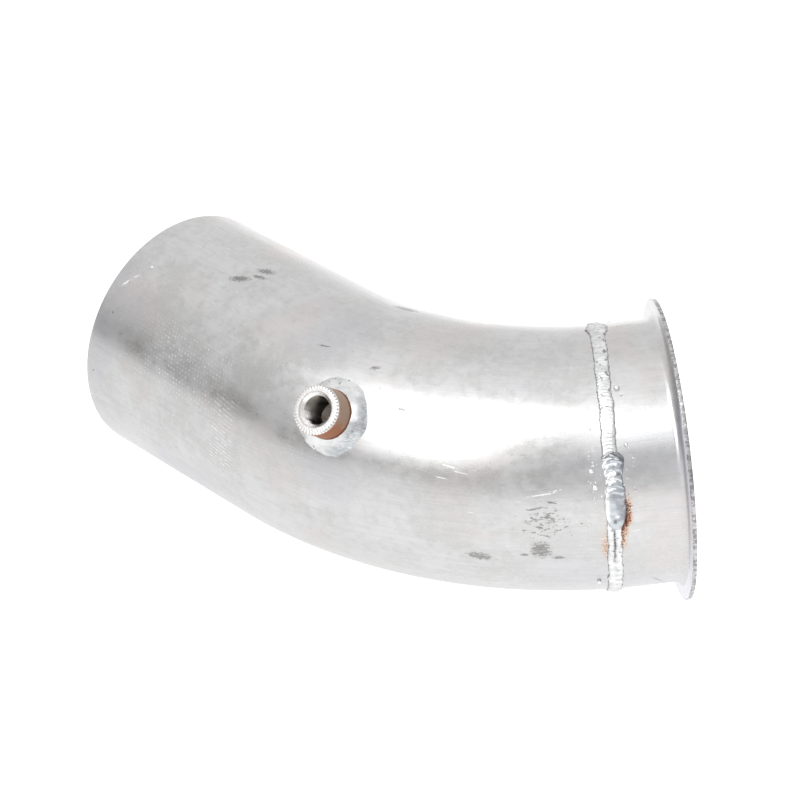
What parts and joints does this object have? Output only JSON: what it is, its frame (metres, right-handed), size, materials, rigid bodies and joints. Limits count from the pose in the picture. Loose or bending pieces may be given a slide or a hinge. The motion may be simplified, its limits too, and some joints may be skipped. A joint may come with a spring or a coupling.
{
  "type": "flue elbow",
  "caption": "Bent round steel duct elbow with a flared flange collar welded to one end, a plain clamp end and a threaded sensor boss on the outside of the bend.",
  "frame": {"origin": "centre of the flared collar's front face", "axes": "+X out of the mouth along the collar's axis, +Y towards the inside of the bend, +Z square to the plane of the bend, on the side that the boss leans to"},
  "size_m": [0.2236, 0.21, 0.1164],
  "materials": {
    "tube_steel": "aluminised mandrel-bent tube, satin, with bender marks and light scuffs",
    "collar_steel": "pressed and flared sheet, satin, with a sheared rim",
    "girth_weld_metal": "as-laid bead, bright, rippled",
    "lump_metal": "smooth dark-grey weld crater",
    "boss_steel": "turned bar with light surface rust",
    "boss_weld_metal": "ground fillet weld",
    "spatter_metal": "bright round droplets"
  },
  "bodies": {
    "root": {"elbow_tube": "tube_steel", "flare_collar": "collar_steel", "girth_weld_near_run": "girth_weld_metal", "girth_weld_far_run": "girth_weld_metal", "weld_stop_lump": "lump_metal", "threaded_boss": "boss_steel", "boss_weld": "boss_weld_metal", "weld_spatter": "spatter_metal"}
  },
  "joints": []
}
